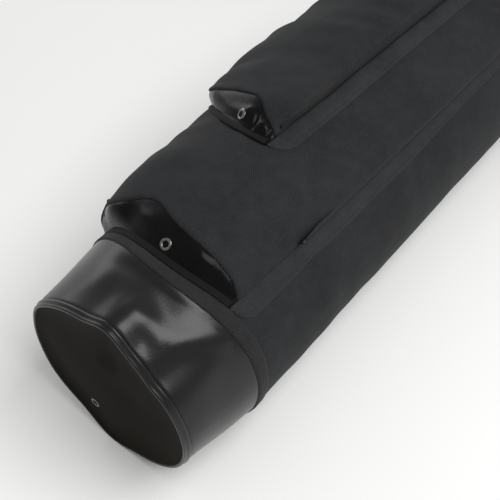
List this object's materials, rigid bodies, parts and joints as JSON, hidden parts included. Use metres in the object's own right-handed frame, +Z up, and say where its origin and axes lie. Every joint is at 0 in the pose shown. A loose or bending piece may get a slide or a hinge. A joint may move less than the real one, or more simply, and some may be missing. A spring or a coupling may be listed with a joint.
{
  "type": "telescope carry case",
  "caption": "Long padded fabric tube case with glossy faux-leather ends, a zipped hinged end cap, raised zipped outer pockets with drain eyelets, a carry handle and side rings.",
  "frame": {"origin": "centre of the flattened underside, on the surface the case lies on", "axes": "+X from the base end to the cap end, +Y to the far side with the carry handle, +Z up through the pockets"},
  "size_m": [1.066, 0.2001, 0.2238],
  "materials": {
    "body_fabric": "black woven nylon",
    "cup_leather": "glossy black faux leather",
    "webbing": "ribbed black woven tape",
    "lining_cloth": "plain black lining cloth",
    "foam": "closed-cell foam padding",
    "board": "plastic stiffener sheet",
    "zip_nylon": "black nylon zip teeth",
    "zip_metal": "black painted zip slider",
    "nickel": "nickel-plated steel"
  },
  "bodies": {
    "case": {"fabric_shell": "body_fabric", "back_panel": "body_fabric", "base_cup": "cup_leather", "wall_foam": "foam", "lining": "lining_cloth", "cup_binding": "webbing", "base_disc": "cup_leather", "base_piping": "cup_leather", "base_stiffener": "board", "base_foam": "foam", "base_eyelet": "nickel", "base_washer": "nickel", "mouth_tape": "webbing", "mouth_teeth": "zip_nylon", "hinge_flap": "webbing", "big_flange": "body_fabric", "big_face": "body_fabric", "big_wall_far": "body_fabric", "big_wall_near": "body_fabric", "big_zip_tapes": "webbing", "big_zip_teeth": "zip_nylon", "zip_end_stops": "zip_nylon", "big_base_gusset": "cup_leather", "big_top_gusset": "body_fabric", "pocket_eyelets": "nickel", "pocket_washers": "nickel", "small_flange": "body_fabric", "small_face": "body_fabric", "small_wall_far": "body_fabric", "small_wall_near": "body_fabric", "small_zip_tapes": "webbing", "small_zip_teeth": "zip_nylon", "small_base_gusset": "cup_leather", "small_top_gusset": "body_fabric", "handle_tabs": "webbing", "d_ring_tabs": "webbing"},
    "cap": {"cap_teeth": "zip_nylon", "cap_flap": "webbing", "cap_tape": "webbing", "cap_shell": "cup_leather", "cap_foam": "foam", "cap_lining": "lining_cloth", "cap_disc": "cup_leather", "cap_stiffener": "board", "cap_pad": "foam", "cap_piping": "cup_leather"},
    "cap_slider": {"cap_slider": "zip_metal"},
    "cap_pull": {"cap_pull": "zip_metal"},
    "big_slider": {"big_slider": "zip_metal"},
    "big_pull": {"big_pull": "zip_metal"},
    "small_slider": {"small_slider": "zip_metal"},
    "small_pull": {"small_pull": "zip_metal"},
    "handle": {"handle_rings": "nickel", "handle_straps": "webbing", "grip_cover": "cup_leather", "grip_core": "foam"},
    "base_d_ring": {"base_d_ring": "nickel"},
    "top_d_ring": {"top_d_ring": "nickel"}
  },
  "joints": [
    {"name": "cap_hinge", "type": "hinge", "parent": "case", "child": "cap", "pos_m": [0.45945, 0.0817, 0.088], "axis": [0, 0, 1], "range_deg": [0, 90]},
    {"name": "cap_zip", "type": "hinge", "parent": "case", "child": "cap_slider", "pos_m": [0.4594, 0, 0.088], "axis": [1, 0, 0], "range_deg": [0, 299]},
    {"name": "cap_pull_swing", "type": "hinge", "parent": "cap_slider", "child": "cap_pull", "pos_m": [0.4594, 0.07479, 0.13205], "axis": [1, 0, 0], "range_deg": [0, 150]},
    {"name": "big_zip", "type": "slide", "parent": "case", "child": "big_slider", "axis": [-1, 0, 0], "range_m": [0, 0.595]},
    {"name": "big_pull_swing", "type": "hinge", "parent": "big_slider", "child": "big_pull", "pos_m": [0.232, -0.06984, 0.16161], "axis": [0, -0.6494, 0.7604], "range_deg": [-85, 80]},
    {"name": "small_zip", "type": "slide", "parent": "case", "child": "small_slider", "axis": [-1, 0, 0], "range_m": [0, 0.33]},
    {"name": "small_pull_swing", "type": "hinge", "parent": "small_slider", "child": "small_pull", "pos_m": [0.052, -0.00854, 0.21152], "axis": [0, -0.0262, 0.9997], "range_deg": [0, 165]},
    {"name": "handle_swing", "type": "hinge", "parent": "case", "child": "handle", "pos_m": [0, 0.097, 0.106], "axis": [1, 0, 0], "range_deg": [0, 150]},
    {"name": "base_d_ring_swing", "type": "hinge", "parent": "case", "child": "base_d_ring", "pos_m": [-0.33, 0.097, 0.106], "axis": [1, 0, 0], "range_deg": [0, 150]},
    {"name": "top_d_ring_swing", "type": "hinge", "parent": "case", "child": "top_d_ring", "pos_m": [0.33, 0.097, 0.106], "axis": [1, 0, 0], "range_deg": [0, 150]}
  ]
}
